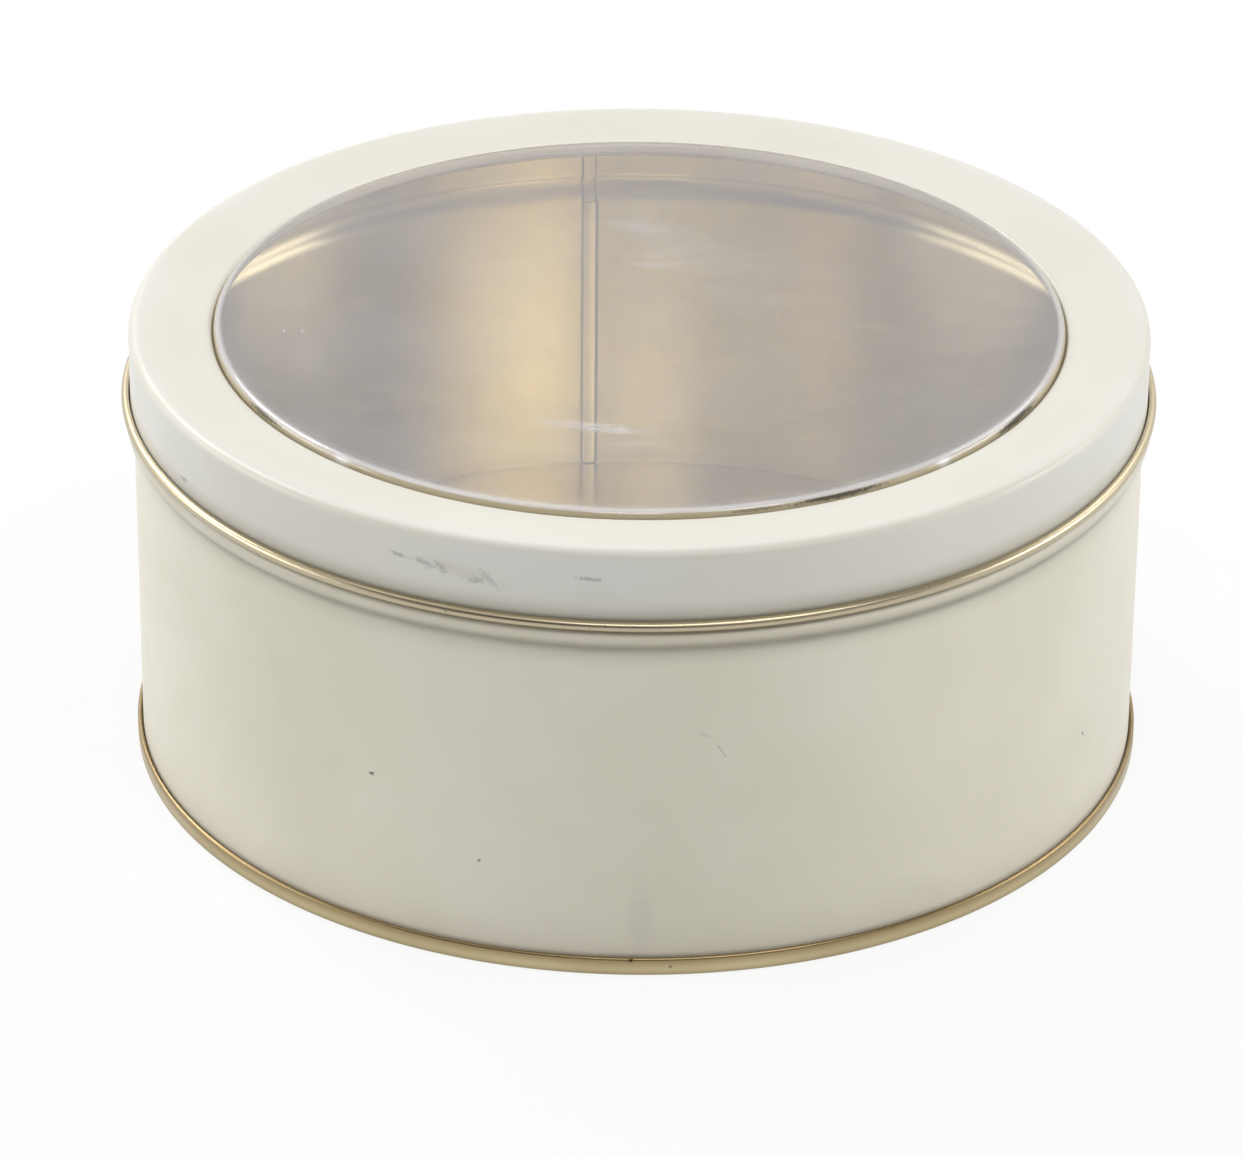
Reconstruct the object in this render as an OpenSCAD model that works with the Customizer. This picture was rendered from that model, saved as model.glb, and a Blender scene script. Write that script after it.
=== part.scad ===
/* [Tin] */
// Height of the closed tin, from the edge it stands on to the top of the lid
tin_h = 94; // [60:0.5:200]
// Outer diameter of the body wall
body_d = 207.6; // [170:0.2:320]
// Thickness of the tinplate of the body and the lid
plate_t = 0.25; // [0.2:0.01:0.3]

/* [Bottom end] */
// Thickness of the tinplate of the bottom end
end_t = 0.28; // [0.2:0.01:0.35]
// How far the panel lies above the edge that the tin stands on
end_depth = 6.9; // [5:0.1:12]
// Bend between the panel and the chuck wall, on the middle of the sheet
panel_bend = 1; // [0.6:0.1:2.5]
// Mean diameter of the stiffening bead in the panel
rib_d = 124; // [70:1:140]
// Width of the stiffening bead
rib_w = 11; // [9:0.5:18]
// Height of the stiffening bead
rib_h = 0.9; // [0.4:0.1:1.5]

/* [Double seam] */
// Height of the double seam
seam_h = 3.9; // [3.2:0.1:5]
// Sealing compound between two layers of the seam
seam_gap = 0.12; // [0.1:0.01:0.2]
// Space left at the end of each hook
hook_gap = 0.7; // [0.4:0.05:0.9]

/* [Shoulder bead and rim] */
// How far the bead that stops the lid stands out from the wall
bead_out = 1.8; // [1.4:0.1:2.2]
// Height of the bead, from the wall below it to the neck above it
bead_h = 4.8; // [4.6:0.1:6.5]
// Height of the upright part of the bead's face
bead_land = 1.9; // [1.85:0.05:2.3]
// Slope of the bead's upper face below the horizontal
bead_slope = 35; // [25:1:45]
// Diameter of the inward curl at the rim
rim_curl_d = 2; // [1.4:0.1:2.6]
// Space between the rim and the ring inside the lid
rim_clear = 0.6; // [0.4:0.1:2]

/* [Lock seam] */
// Where the lock seam stands, counted anticlockwise from the right-hand side
lock_angle = 96.3; // [0:0.1:360]
// Width of the lock seam
lock_w = 3.2; // [2.6:0.1:5]
// Space between two layers of the lock seam
lock_gap = 0.08; // [0.05:0.01:0.12]
// Thickness of the lap that carries the seam on through the bead and the neck
lap_t = 0.6; // [0.4:0.05:0.7]

/* [Lid] */
// Height of the lid
lid_h = 16.5; // [12:0.1:30]
// Space between the skirt and the neck, all round
lid_clear = 0.35; // [0.3:0.05:0.6]
// Space between the curl of the lid and the bead that stops it
rest_gap = 0.3; // [0.3:0.05:0.6]
// Diameter of the curl at the edge of the skirt
curl_d = 2.05; // [1.6:0.05:2.4]
// Bend of the shoulder, on the middle of the sheet
shoulder_bend = 1.7; // [1:0.1:3]
// Width of the level shoulder, from the skirt inwards, before the ring dips
shoulder_w = 2.3; // [2:0.1:4]
// Width of the ring, from the face of the skirt to the window opening
ring_w = 17; // [15:0.1:30]
// How far the ring dips from the shoulder to the opening
ring_dip = 1.35; // [0.5:0.05:2]
// Depth of the edge that is turned down round the opening
flange_h = 1.9; // [1.6:0.1:3]

/* [Window] */
// Thickness of the clear sheet
pane_t = 0.4; // [0.3:0.05:0.6]
// Space between the raised pane and the edge of the opening
pane_clear = 0.3; // [0.2:0.05:0.6]
// How far the top of the pane lies below the top of the lid
pane_drop = 0.2; // [0:0.05:0.5]
// Bend round the top of the pane, on the middle of the sheet
pane_bend = 1.15; // [0.6:0.05:1.4]
// Width of the flange that lies under the ring
pane_flange_w = 12; // [6:0.5:13]

/* [Retaining ring] */
// Thickness of the tinplate of the retaining ring
retainer_t = 0.25; // [0.2:0.01:0.3]
// How far the ring's inner edge lies outside the opening
retainer_back = 1.8; // [1:0.1:4]
// Height of the wall that stands up against the skirt
retainer_h = 2.2; // [1.5:0.1:2.4]
// Depth of the lip turned down at the inner edge
retainer_lip = 1; // [0.7:0.1:1.5]
// Space between the ring's wall and the skirt
retainer_clear = 0.1; // [0.1:0.05:0.3]

/* [Hidden] */

// Roundness of the turned shapes, and the most that one facet of a bend may turn
$fn = 180;
bend_step = 15;
// A bend tight enough to read as a crease
crease = 0.5;
// How far a piece that is joined to the wall runs into it
bite = 0.05;

// Radii of the layers of the double seam, each on the middle of its sheet
wall_r = body_d / 2 - plate_t / 2;
chuck_r = body_d / 2 - plate_t - seam_gap - end_t / 2;
cover_hook_r = body_d / 2 + seam_gap + end_t / 2;
body_hook_r = cover_hook_r + end_t / 2 + seam_gap + plate_t / 2;
seaming_wall_r = body_hook_r + plate_t / 2 + seam_gap + end_t / 2;
body_fold = (body_hook_r - wall_r) / 2;
cover_fold = (seaming_wall_r - cover_hook_r) / 2;

// Levels of the double seam and the panel
body_fold_z = end_t + seam_gap + plate_t / 2;
body_hook_top = seam_h - end_t - hook_gap;
cover_hook_end = body_fold_z + plate_t / 2 + hook_gap;
panel_z = end_depth + end_t / 2;

// The lid, from its top down
skirt_r = body_d / 2 + lid_clear + plate_t / 2;
lid_top_z = tin_h - plate_t / 2;
opening_r = skirt_r + plate_t / 2 - ring_w;
flange_end_z = tin_h - ring_dip - flange_h;
curl_bend = curl_d / 2 - plate_t / 2;
curl_z = tin_h - lid_h + curl_d / 2;

// The pane is clamped between the turned-down edge and the retaining ring
pane_top_z = tin_h - pane_drop - pane_t / 2;
pane_wall_r = opening_r - pane_clear - pane_t / 2;
pane_flange_z = flange_end_z - pane_t / 2;
retainer_z = flange_end_z - pane_t - retainer_t / 2;
retainer_wall_r = skirt_r - plate_t / 2 - retainer_clear - retainer_t / 2;

// The bead lies rest_gap below the curl of the lid, measured square to its upper face
neck_z = curl_z - (curl_d / 2 + rest_gap + plate_t / 2
    - (skirt_r + curl_bend - wall_r) * sin(bead_slope)) / cos(bead_slope);
ridge_r = wall_r + bead_out;
ridge_z = neck_z - bead_out * tan(bead_slope);
bead_foot_z = neck_z - bead_h;
// Its lower face is two equal bends, with a little of the slope left between them
lower_face = [bead_out, bead_h - bead_out * tan(bead_slope) - bead_land];
bead_bend = min(2.6, 0.48 * norm(lower_face) / tan(atan2(lower_face[0], lower_face[1]) / 2));
rim_z = retainer_z - retainer_t / 2 - rim_clear;
rim_bend = rim_curl_d / 2 - plate_t / 2;
rim_curl_r = wall_r - rim_bend;
rim_curl_z = rim_z - rim_curl_d / 2;

// Lock seam: depths of the three gaps between its four layers, and its outer fold
layer = plate_t + lock_gap;
gap_depth = plate_t + lock_gap / 2;
lock_depth = 4 * plate_t + 3 * lock_gap;
lock_fold = (3 * plate_t + 2 * lock_gap) / 2;
lock_foot_z = end_depth + end_t + 0.3;
lock_top_z = bead_foot_z - bead_bend / 2;
lock_turn = lock_w / wall_r * 180 / PI;

// A sheet is drawn from the corners of its middle line, each as [across, up, bend radius]
function heading(a, b) = atan2(b[1] - a[1], b[0] - a[0]);
function wrapped(a) = a > 180 ? a - 360 : a < -180 ? a + 360 : a;
function beside(s, d) = [s[0] - d * sin(s[2]), s[1] + d * cos(s[2])];
function apart(a, b) = norm([a[0] - b[0], a[1] - b[1]]) > 0.01;

// One bend as stations of [across, up, heading]
function bend(a, b, c) =
    let (start = heading(a, b), turn = wrapped(heading(b, c) - start), side = sign(turn),
        set_back = b[2] * tan(abs(turn) / 2),
        centre = [b[0] - set_back * cos(start) - side * b[2] * sin(start),
            b[1] - set_back * sin(start) + side * b[2] * cos(start)],
        steps = ceil(abs(turn) / bend_step))
    [for (k = [0 : steps]) let (h = start + turn * k / steps)
        [centre[0] + side * b[2] * sin(h), centre[1] - side * b[2] * cos(h), h]];

function stations(corners) =
    let (last = len(corners) - 1,
        all = [[corners[0][0], corners[0][1], heading(corners[0], corners[1])],
            for (i = [1 : last - 1]) each bend(corners[i - 1], corners[i], corners[i + 1]),
            [corners[last][0], corners[last][1], heading(corners[last - 1], corners[last])]])
    [for (i = [0 : len(all) - 1]) if (i == 0 || apart(all[i], all[i - 1])) all[i]];

// Section of a sheet of thickness t, moved by shift to the left of its middle line
function sheet(corners, t, shift = 0) =
    let (s = stations(corners), last = len(s) - 1)
    [for (i = [0 : last]) beside(s[i], shift + t / 2),
        for (i = [last : -1 : 0]) beside(s[i], shift - t / 2)];

// Closed outline with its corners rounded
function rounded(corners) =
    let (n = len(corners),
        all = [for (i = [0 : n - 1])
            let (before = corners[(i + n - 1) % n], after = corners[(i + 1) % n])
            each corners[i][2] > 0 ? bend(before, corners[i], after) : [corners[i]]])
    [for (i = [0 : len(all) - 1]) if (i == 0 || apart(all[i], all[i - 1])) [all[i][0], all[i][1]]];

bead_corners = [
    [wall_r, bead_foot_z, bead_bend],
    [ridge_r, ridge_z - bead_land, bead_bend],
    [ridge_r, ridge_z, 1.2],
    [wall_r, neck_z, 0.8]
];

wall_corners = [
    [body_hook_r, body_hook_top],
    [body_hook_r, body_fold_z, body_fold],
    [wall_r, body_fold_z, body_fold],
    each bead_corners,
    [wall_r, rim_curl_z + rim_bend, rim_bend],
    [rim_curl_r - rim_bend, rim_curl_z + rim_bend, rim_bend],
    [rim_curl_r - rim_bend, rim_curl_z - rim_bend, rim_bend],
    [rim_curl_r + rim_bend / 2, rim_curl_z - rim_bend]
];

lap_corners = [
    [wall_r, lock_top_z - 1],
    each bead_corners,
    [wall_r, rim_curl_z - rim_curl_d]
];

end_corners = [
    [0, panel_z],
    [rib_d / 2 - rib_w / 2, panel_z, 3],
    [rib_d / 2 - rib_w / 4, panel_z + rib_h, 3],
    [rib_d / 2 + rib_w / 4, panel_z + rib_h, 3],
    [rib_d / 2 + rib_w / 2, panel_z, 3],
    [chuck_r, panel_z, panel_bend],
    [chuck_r, end_t / 2, crease],
    [seaming_wall_r, end_t / 2, crease],
    [seaming_wall_r, seam_h - end_t / 2, cover_fold],
    [cover_hook_r, seam_h - end_t / 2, cover_fold],
    [cover_hook_r, cover_hook_end]
];

lid_corners = [
    [skirt_r + curl_bend / 2, curl_z + curl_bend],
    [skirt_r + 2 * curl_bend, curl_z + curl_bend, curl_bend],
    [skirt_r + 2 * curl_bend, curl_z - curl_bend, curl_bend],
    [skirt_r, curl_z - curl_bend, curl_bend],
    [skirt_r, lid_top_z, shoulder_bend],
    [skirt_r - shoulder_w, lid_top_z, 3],
    [opening_r + plate_t / 2, lid_top_z - ring_dip, crease],
    [opening_r + plate_t / 2, flange_end_z]
];

pane_corners = [
    [0, pane_top_z],
    [pane_wall_r, pane_top_z, pane_bend],
    [pane_wall_r, pane_flange_z, crease],
    [pane_wall_r + pane_t / 2 + pane_flange_w, pane_flange_z]
];

retainer_corners = [
    [opening_r + retainer_back, retainer_z - retainer_t / 2 - retainer_lip],
    [opening_r + retainer_back, retainer_z, crease],
    [retainer_wall_r, retainer_z, crease],
    [retainer_wall_r, retainer_z - retainer_t / 2 + retainer_h]
];

// The four layers of the lock seam as one block: folded edge on the left, joggle on the right
lock_corners = [
    [-lock_w / 2 + lock_fold, -plate_t / 2, 0],
    [-lock_w / 2 + lock_fold, -layer, 0],
    [-lock_w / 2, -layer, lock_fold],
    [-lock_w / 2, -lock_depth, lock_fold],
    [lock_w / 2 + layer, -lock_depth, lock_fold + layer],
    [lock_w / 2 + layer, -plate_t, 0.25],
    [lock_w / 2 + 4 * layer, -plate_t, 0],
    [lock_w / 2 + 4 * layer, -plate_t / 2, 0]
];

// The gap that winds between the two interlocked hooks, from outside to inside
slot_corners = [
    [lock_w / 2 + lock_gap / 2, plate_t],
    [lock_w / 2 + lock_gap / 2, -gap_depth - 2 * layer, lock_fold + lock_gap / 2],
    [-lock_w / 2 + gap_depth, -gap_depth - 2 * layer, layer / 2],
    [-lock_w / 2 + gap_depth, -gap_depth - layer, layer / 2],
    [lock_w / 2 - gap_depth, -gap_depth - layer, layer / 2],
    [lock_w / 2 - gap_depth, -gap_depth, layer / 2],
    [-lock_w / 2 - 1, -gap_depth]
];

module at_lock_seam() {
    rotate(lock_angle - 90) translate([0, body_d / 2, 0]) children();
}

// The seam's lock stands inside the wall, and only a fine groove shows outside
module lock_seam_block() {
    at_lock_seam() translate([0, 0, lock_foot_z])
        linear_extrude(lock_top_z - lock_foot_z) polygon(rounded(lock_corners));
}

module lock_seam_slot() {
    groove = plate_t;
    groove_corners = [[0, -groove], [groove, groove / 4], [-groove, groove / 4]];
    at_lock_seam() translate([0, 0, lock_foot_z]) linear_extrude(lock_top_z - lock_foot_z) {
        polygon(sheet(slot_corners, lock_gap));
        translate([lock_w / 2 + lock_gap / 2, 0]) polygon(groove_corners);
    }
}

// Above the lock the blank is notched, and the seam goes on as a lap through the bead and the neck
module lock_seam_lap() {
    rotate(lock_angle - lock_turn / 2) rotate_extrude(angle = lock_turn)
        polygon(sheet(lap_corners, lap_t, plate_t / 2 + lap_t / 2 - bite));
}

module body_wall() {
    color("#cfc9b4") difference() {
        union() {
            rotate_extrude() polygon(sheet(wall_corners, plate_t));
            lock_seam_block();
            lock_seam_lap();
        }
        lock_seam_slot();
    }
}

module bottom_end() {
    color("#b9a97f") rotate_extrude() polygon(sheet(end_corners, end_t));
}

module lid_frame() {
    color("#e8e4da") rotate_extrude() polygon(sheet(lid_corners, plate_t));
}

module window_pane() {
    color("#dfe8e8", 0.35) rotate_extrude() polygon(sheet(pane_corners, pane_t));
}

module retaining_ring() {
    color("#c4b68e") rotate_extrude() polygon(sheet(retainer_corners, retainer_t));
}

body_wall();
bottom_end();
lid_frame();
window_pane();
retaining_ring();
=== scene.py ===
"""A round tin with a raised window in its lift-off lid, dressed over its CAD frame."""
import math

import bmesh
import bpy
from mathutils import Matrix, Vector


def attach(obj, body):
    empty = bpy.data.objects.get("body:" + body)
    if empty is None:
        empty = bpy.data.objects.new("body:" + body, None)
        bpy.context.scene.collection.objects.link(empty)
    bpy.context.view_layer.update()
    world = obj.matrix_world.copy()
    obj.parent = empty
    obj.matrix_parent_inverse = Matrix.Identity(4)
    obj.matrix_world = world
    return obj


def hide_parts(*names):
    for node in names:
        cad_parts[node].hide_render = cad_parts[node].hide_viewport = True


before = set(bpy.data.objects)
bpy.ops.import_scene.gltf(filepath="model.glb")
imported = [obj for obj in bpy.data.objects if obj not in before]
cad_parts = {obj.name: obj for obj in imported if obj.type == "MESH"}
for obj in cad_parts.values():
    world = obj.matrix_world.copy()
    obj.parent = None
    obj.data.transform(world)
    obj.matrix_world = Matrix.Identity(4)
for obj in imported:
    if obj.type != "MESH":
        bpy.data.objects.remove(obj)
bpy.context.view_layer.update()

MM = 0.001

# Sizes in millimetres, as in the part's source
TIN_H = 94
BODY_D = 207.6
PLATE_T = 0.25
END_T = 0.28
END_DEPTH = 6.9
PANEL_BEND = 1
RIB_D = 124
RIB_W = 11
RIB_H = 0.9
RIB_BEND = 3
SEAM_H = 3.9
SEAM_GAP = 0.12
HOOK_GAP = 0.7
BEAD_OUT = 1.8
BEAD_H = 4.8
BEAD_LAND = 1.9
BEAD_SLOPE = math.radians(35)
BEAD_BEND_MAX = 2.6
RIDGE_BEND = 1.2
NECK_BEND = 0.8
RIM_CURL_D = 2
RIM_CLEAR = 0.6
LOCK_ANGLE = 96.3
LOCK_W = 3.2
LOCK_GAP = 0.08
LAP_T = 0.6
LID_H = 16.5
LID_CLEAR = 0.35
REST_GAP = 0.3
CURL_D = 2.05
SHOULDER_BEND = 1.7
SHOULDER_W = 2.3
RING_W = 17
RING_DIP = 1.35
RING_BEND = 3
FLANGE_H = 1.9
PANE_T = 0.4
PANE_CLEAR = 0.3
PANE_DROP = 0.2
PANE_BEND = 1.15
PANE_FLANGE_W = 12
RETAINER_T = 0.25
RETAINER_BACK = 1.8
RETAINER_H = 2.2
RETAINER_LIP = 1
RETAINER_CLEAR = 0.1
CREASE = 0.5
OPENING_BEND = 1.0
BITE = 0.05
GROOVE_DEPTH = 0.15

# Radii of the layers of the double seam, each on the middle of its sheet
WALL_R = BODY_D / 2 - PLATE_T / 2
CHUCK_R = BODY_D / 2 - PLATE_T - SEAM_GAP - END_T / 2
COVER_HOOK_R = BODY_D / 2 + SEAM_GAP + END_T / 2
BODY_HOOK_R = COVER_HOOK_R + END_T / 2 + SEAM_GAP + PLATE_T / 2
SEAMING_WALL_R = BODY_HOOK_R + PLATE_T / 2 + SEAM_GAP + END_T / 2
BODY_FOLD = (BODY_HOOK_R - WALL_R) / 2
COVER_FOLD = (SEAMING_WALL_R - COVER_HOOK_R) / 2

# Levels of the double seam and the panel
BODY_FOLD_Z = END_T + SEAM_GAP + PLATE_T / 2
BODY_HOOK_TOP = SEAM_H - END_T - HOOK_GAP
COVER_HOOK_END = BODY_FOLD_Z + PLATE_T / 2 + HOOK_GAP
PANEL_Z = END_DEPTH + END_T / 2

# The lid, its pane and its retaining ring
SKIRT_R = BODY_D / 2 + LID_CLEAR + PLATE_T / 2
LID_TOP_Z = TIN_H - PLATE_T / 2
OPENING_R = SKIRT_R + PLATE_T / 2 - RING_W
FLANGE_END_Z = TIN_H - RING_DIP - FLANGE_H
CURL_BEND = CURL_D / 2 - PLATE_T / 2
CURL_Z = TIN_H - LID_H + CURL_D / 2
PANE_TOP_Z = TIN_H - PANE_DROP - PANE_T / 2
PANE_WALL_R = OPENING_R - PANE_CLEAR - PANE_T / 2
PANE_FLANGE_Z = FLANGE_END_Z - PANE_T / 2
RETAINER_Z = FLANGE_END_Z - PANE_T - RETAINER_T / 2
RETAINER_WALL_R = SKIRT_R - PLATE_T / 2 - RETAINER_CLEAR - RETAINER_T / 2

# The bead that stops the lid, and the curled rim above it
NECK_Z = CURL_Z - (CURL_D / 2 + REST_GAP + PLATE_T / 2
                   - (SKIRT_R + CURL_BEND - WALL_R) * math.sin(BEAD_SLOPE)) / math.cos(BEAD_SLOPE)
RIDGE_R = WALL_R + BEAD_OUT
RIDGE_Z = NECK_Z - BEAD_OUT * math.tan(BEAD_SLOPE)
BEAD_FOOT_Z = NECK_Z - BEAD_H
LOWER_FACE = (BEAD_OUT, BEAD_H - BEAD_OUT * math.tan(BEAD_SLOPE) - BEAD_LAND)
HALF_FACE = 0.48 * math.hypot(*LOWER_FACE)  # each of the two bends gets just under half
BEAD_BEND = min(BEAD_BEND_MAX, HALF_FACE / math.tan(math.atan2(*LOWER_FACE) / 2))
RIM_Z = RETAINER_Z - RETAINER_T / 2 - RIM_CLEAR
RIM_BEND = RIM_CURL_D / 2 - PLATE_T / 2
RIM_CURL_R = WALL_R - RIM_BEND
RIM_CURL_Z = RIM_Z - RIM_CURL_D / 2

# The lock seam of the body wall
LAYER = PLATE_T + LOCK_GAP
LOCK_DEPTH = 4 * PLATE_T + 3 * LOCK_GAP
LOCK_FOLD = (3 * PLATE_T + 2 * LOCK_GAP) / 2
LOCK_FOOT_Z = END_DEPTH + END_T + 0.3
LOCK_TOP_Z = BEAD_FOOT_Z - BEAD_BEND / 2
LOCK_TURN = LOCK_W / WALL_R

# How finely the sheets are drawn
BEND_STEP = math.radians(18)
STRAIGHT_STEP = 6
SUPPORT = 0.2
LEAST_STEP = 0.01
MERGED = 0.002
SHARP_EDGE = math.radians(40)
ROUND_STEPS = 360
RAIL_R = 100
LOCK_STEPS = 12


# Sheets, drawn from the corners of their middle line, each as (across, up, bend radius)

def heading(a, b):
    return math.atan2(b[1] - a[1], b[0] - a[0])


def bend(before, corner, after):
    """One bend as stations of (across, up, heading)."""
    start = heading(before, corner)
    turn = (heading(corner, after) - start + math.pi) % math.tau - math.pi
    side = math.copysign(1, turn)
    radius = corner[2]
    set_back = radius * math.tan(abs(turn) / 2)
    centre = (corner[0] - set_back * math.cos(start) - side * radius * math.sin(start),
              corner[1] - set_back * math.sin(start) + side * radius * math.cos(start))
    steps = max(2, math.ceil(abs(turn) / BEND_STEP))
    for k in range(steps + 1):
        way = start + turn * k / steps
        yield (centre[0] + side * radius * math.sin(way), centre[1] - side * radius * math.cos(way), way)


def stations(corners):
    """Places along a sheet, with support close to each bend and even steps between them."""
    rough = [(*corners[0][:2], heading(corners[0], corners[1]))]
    for before, corner, after in zip(corners, corners[1:], corners[2:]):
        rough += bend(before, corner, after)
    rough.append((*corners[-1][:2], heading(corners[-2], corners[-1])))
    places = [rough[0]]
    for there in rough[1:]:
        here = places[-1]
        run = math.dist(here[:2], there[:2])
        if run < LEAST_STEP:
            continue
        if run > 4 * SUPPORT and abs(here[2] - there[2]) < 1e-6:
            steps = math.ceil(run / STRAIGHT_STEP)
            cuts = [SUPPORT] + [run * k / steps for k in range(1, steps)] + [run - SUPPORT]
            across, up, way = here
            places += [(across + cut * math.cos(way), up + cut * math.sin(way), way) for cut in cuts]
        places.append(there)
    return places


def beside(place, distance):
    return place[0] - distance * math.sin(place[2]), place[1] + distance * math.cos(place[2])


def section(corners, thickness, shift=0):
    """Outline of a sheet as (across, up, is left side): out along its left side, back along its right."""
    places = stations(corners)
    left = [(*beside(place, shift + thickness / 2), True) for place in places]
    right = [(*beside(place, shift - thickness / 2), False) for place in places]
    return left + right[::-1]


def rounded(corners):
    """Closed outline of (across, up, bend radius) corners with its corners rounded."""
    outline = []
    for i, corner in enumerate(corners):
        if corner[2] > 0:
            after = corners[(i + 1) % len(corners)]
            outline += [place[:2] for place in bend(corners[i - 1], corner, after)]
        else:
            outline.append(corner[:2])
    return [p for i, p in enumerate(outline) if math.dist(p, outline[i - 1]) > LEAST_STEP]


BEAD_CORNERS = [
    (WALL_R, BEAD_FOOT_Z, BEAD_BEND),
    (RIDGE_R, RIDGE_Z - BEAD_LAND, BEAD_BEND),
    (RIDGE_R, RIDGE_Z, RIDGE_BEND),
    (WALL_R, NECK_Z, NECK_BEND),
]
WALL_CORNERS = [
    (BODY_HOOK_R, BODY_HOOK_TOP),
    (BODY_HOOK_R, BODY_FOLD_Z, BODY_FOLD),
    (WALL_R, BODY_FOLD_Z, BODY_FOLD),
    *BEAD_CORNERS,
    (WALL_R, RIM_CURL_Z + RIM_BEND, RIM_BEND),
    (RIM_CURL_R - RIM_BEND, RIM_CURL_Z + RIM_BEND, RIM_BEND),
    (RIM_CURL_R - RIM_BEND, RIM_CURL_Z - RIM_BEND, RIM_BEND),
    (RIM_CURL_R + RIM_BEND / 2, RIM_CURL_Z - RIM_BEND),
]
LAP_CORNERS = [
    (WALL_R, LOCK_TOP_Z - 1),
    *BEAD_CORNERS,
    (WALL_R, RIM_CURL_Z - RIM_CURL_D),
]
END_CORNERS = [
    (0, PANEL_Z),
    (RIB_D / 2 - RIB_W / 2, PANEL_Z, RIB_BEND),
    (RIB_D / 2 - RIB_W / 4, PANEL_Z + RIB_H, RIB_BEND),
    (RIB_D / 2 + RIB_W / 4, PANEL_Z + RIB_H, RIB_BEND),
    (RIB_D / 2 + RIB_W / 2, PANEL_Z, RIB_BEND),
    (CHUCK_R, PANEL_Z, PANEL_BEND),
    (CHUCK_R, END_T / 2, CREASE),
    (SEAMING_WALL_R, END_T / 2, CREASE),
    (SEAMING_WALL_R, SEAM_H - END_T / 2, COVER_FOLD),
    (COVER_HOOK_R, SEAM_H - END_T / 2, COVER_FOLD),
    (COVER_HOOK_R, COVER_HOOK_END),
]
LID_CORNERS = [
    (SKIRT_R + CURL_BEND / 2, CURL_Z + CURL_BEND),
    (SKIRT_R + 2 * CURL_BEND, CURL_Z + CURL_BEND, CURL_BEND),
    (SKIRT_R + 2 * CURL_BEND, CURL_Z - CURL_BEND, CURL_BEND),
    (SKIRT_R, CURL_Z - CURL_BEND, CURL_BEND),
    (SKIRT_R, LID_TOP_Z, SHOULDER_BEND),
    (SKIRT_R - SHOULDER_W, LID_TOP_Z, RING_BEND),
    (OPENING_R + PLATE_T / 2, LID_TOP_Z - RING_DIP, OPENING_BEND),
    (OPENING_R + PLATE_T / 2, FLANGE_END_Z),
]
PANE_CORNERS = [
    (0, PANE_TOP_Z),
    (PANE_WALL_R, PANE_TOP_Z, PANE_BEND),
    (PANE_WALL_R, PANE_FLANGE_Z, CREASE),
    (PANE_WALL_R + PANE_T / 2 + PANE_FLANGE_W, PANE_FLANGE_Z),
]
RETAINER_CORNERS = [
    (OPENING_R + RETAINER_BACK, RETAINER_Z - RETAINER_T / 2 - RETAINER_LIP),
    (OPENING_R + RETAINER_BACK, RETAINER_Z, CREASE),
    (RETAINER_WALL_R, RETAINER_Z, CREASE),
    (RETAINER_WALL_R, RETAINER_Z - RETAINER_T / 2 + RETAINER_H),
]
# Plan of the lock seam, clockwise along the wall and inwards: its folded edge comes first
LOCK_CORNERS = [
    (-LOCK_W / 2 + LOCK_FOLD, PLATE_T / 2, 0),
    (-LOCK_W / 2 + LOCK_FOLD, LAYER, 0),
    (-LOCK_W / 2, LAYER, LOCK_FOLD),
    (-LOCK_W / 2, LOCK_DEPTH, LOCK_FOLD),
    (LOCK_W / 2 + LAYER, LOCK_DEPTH, LOCK_FOLD + LAYER),
    (LOCK_W / 2 + LAYER, PLATE_T, 0.25),
    (LOCK_W / 2 + 4 * LAYER, PLATE_T, 0),
    (LOCK_W / 2 + 4 * LAYER, PLATE_T / 2, 0),
]


# Nodes

def add(tree, kind, inputs=(), **settings):
    """Add a node with its settings and give its first live output. Inputs are values, or the outputs
    that feed them, in the order of the live sockets or by name."""
    node = tree.nodes.new(kind)
    for name, value in settings.items():
        setattr(node, name, value)
    if isinstance(inputs, dict):
        pairs = [(node.inputs[name], value) for name, value in inputs.items()]
    else:
        pairs = zip([socket for socket in node.inputs if socket.enabled], inputs)
    for socket, value in pairs:
        if isinstance(value, bpy.types.NodeSocket):
            tree.links.new(value, socket)
        else:
            socket.default_value = value
    return next((socket for socket in node.outputs if socket.enabled), None)


def new_rule(name, sockets):
    """A Geometry Nodes tree whose named inputs are given as name: (type, value)."""
    tree = bpy.data.node_groups.new(name, "GeometryNodeTree")
    for way in ("INPUT", "OUTPUT"):
        tree.interface.new_socket("Geometry", in_out=way, socket_type="NodeSocketGeometry")
    for title, (kind, value) in sockets.items():
        socket = tree.interface.new_socket(title, in_out="INPUT", socket_type="NodeSocket" + kind)
        if value is not None:
            socket.default_value = value
    return tree, tree.nodes.new("NodeGroupInput").outputs


WAVE = {
    "Wave height": ("Float", 0.12 * MM),
    "Wave length": ("Float", 70 * MM),
    "Seed": ("Float", 4.0),
}


def wave_rule():
    """Rolled sheet is never quite true: one slow random field moves every sheet of the tin alike."""
    tree, given = new_rule("sheet_wave", WAVE)
    scale = add(tree, "ShaderNodeMath", [1.0, given["Wave length"]], operation="DIVIDE")
    noise = add(tree, "ShaderNodeTexNoise", {"W": given["Seed"], "Scale": scale, "Detail": 0.0},
                noise_dimensions="4D").node.outputs["Color"]
    level = add(tree, "ShaderNodeVectorMath", [noise, (0.5, 0.5, 0.5)], operation="SUBTRACT")
    offset = add(tree, "ShaderNodeVectorMath", [level, given["Wave height"]], operation="SCALE")
    moved = add(tree, "GeometryNodeSetPosition", {"Geometry": given["Geometry"], "Offset": offset})
    add(tree, "NodeGroupOutput", [moved])
    return tree


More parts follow.
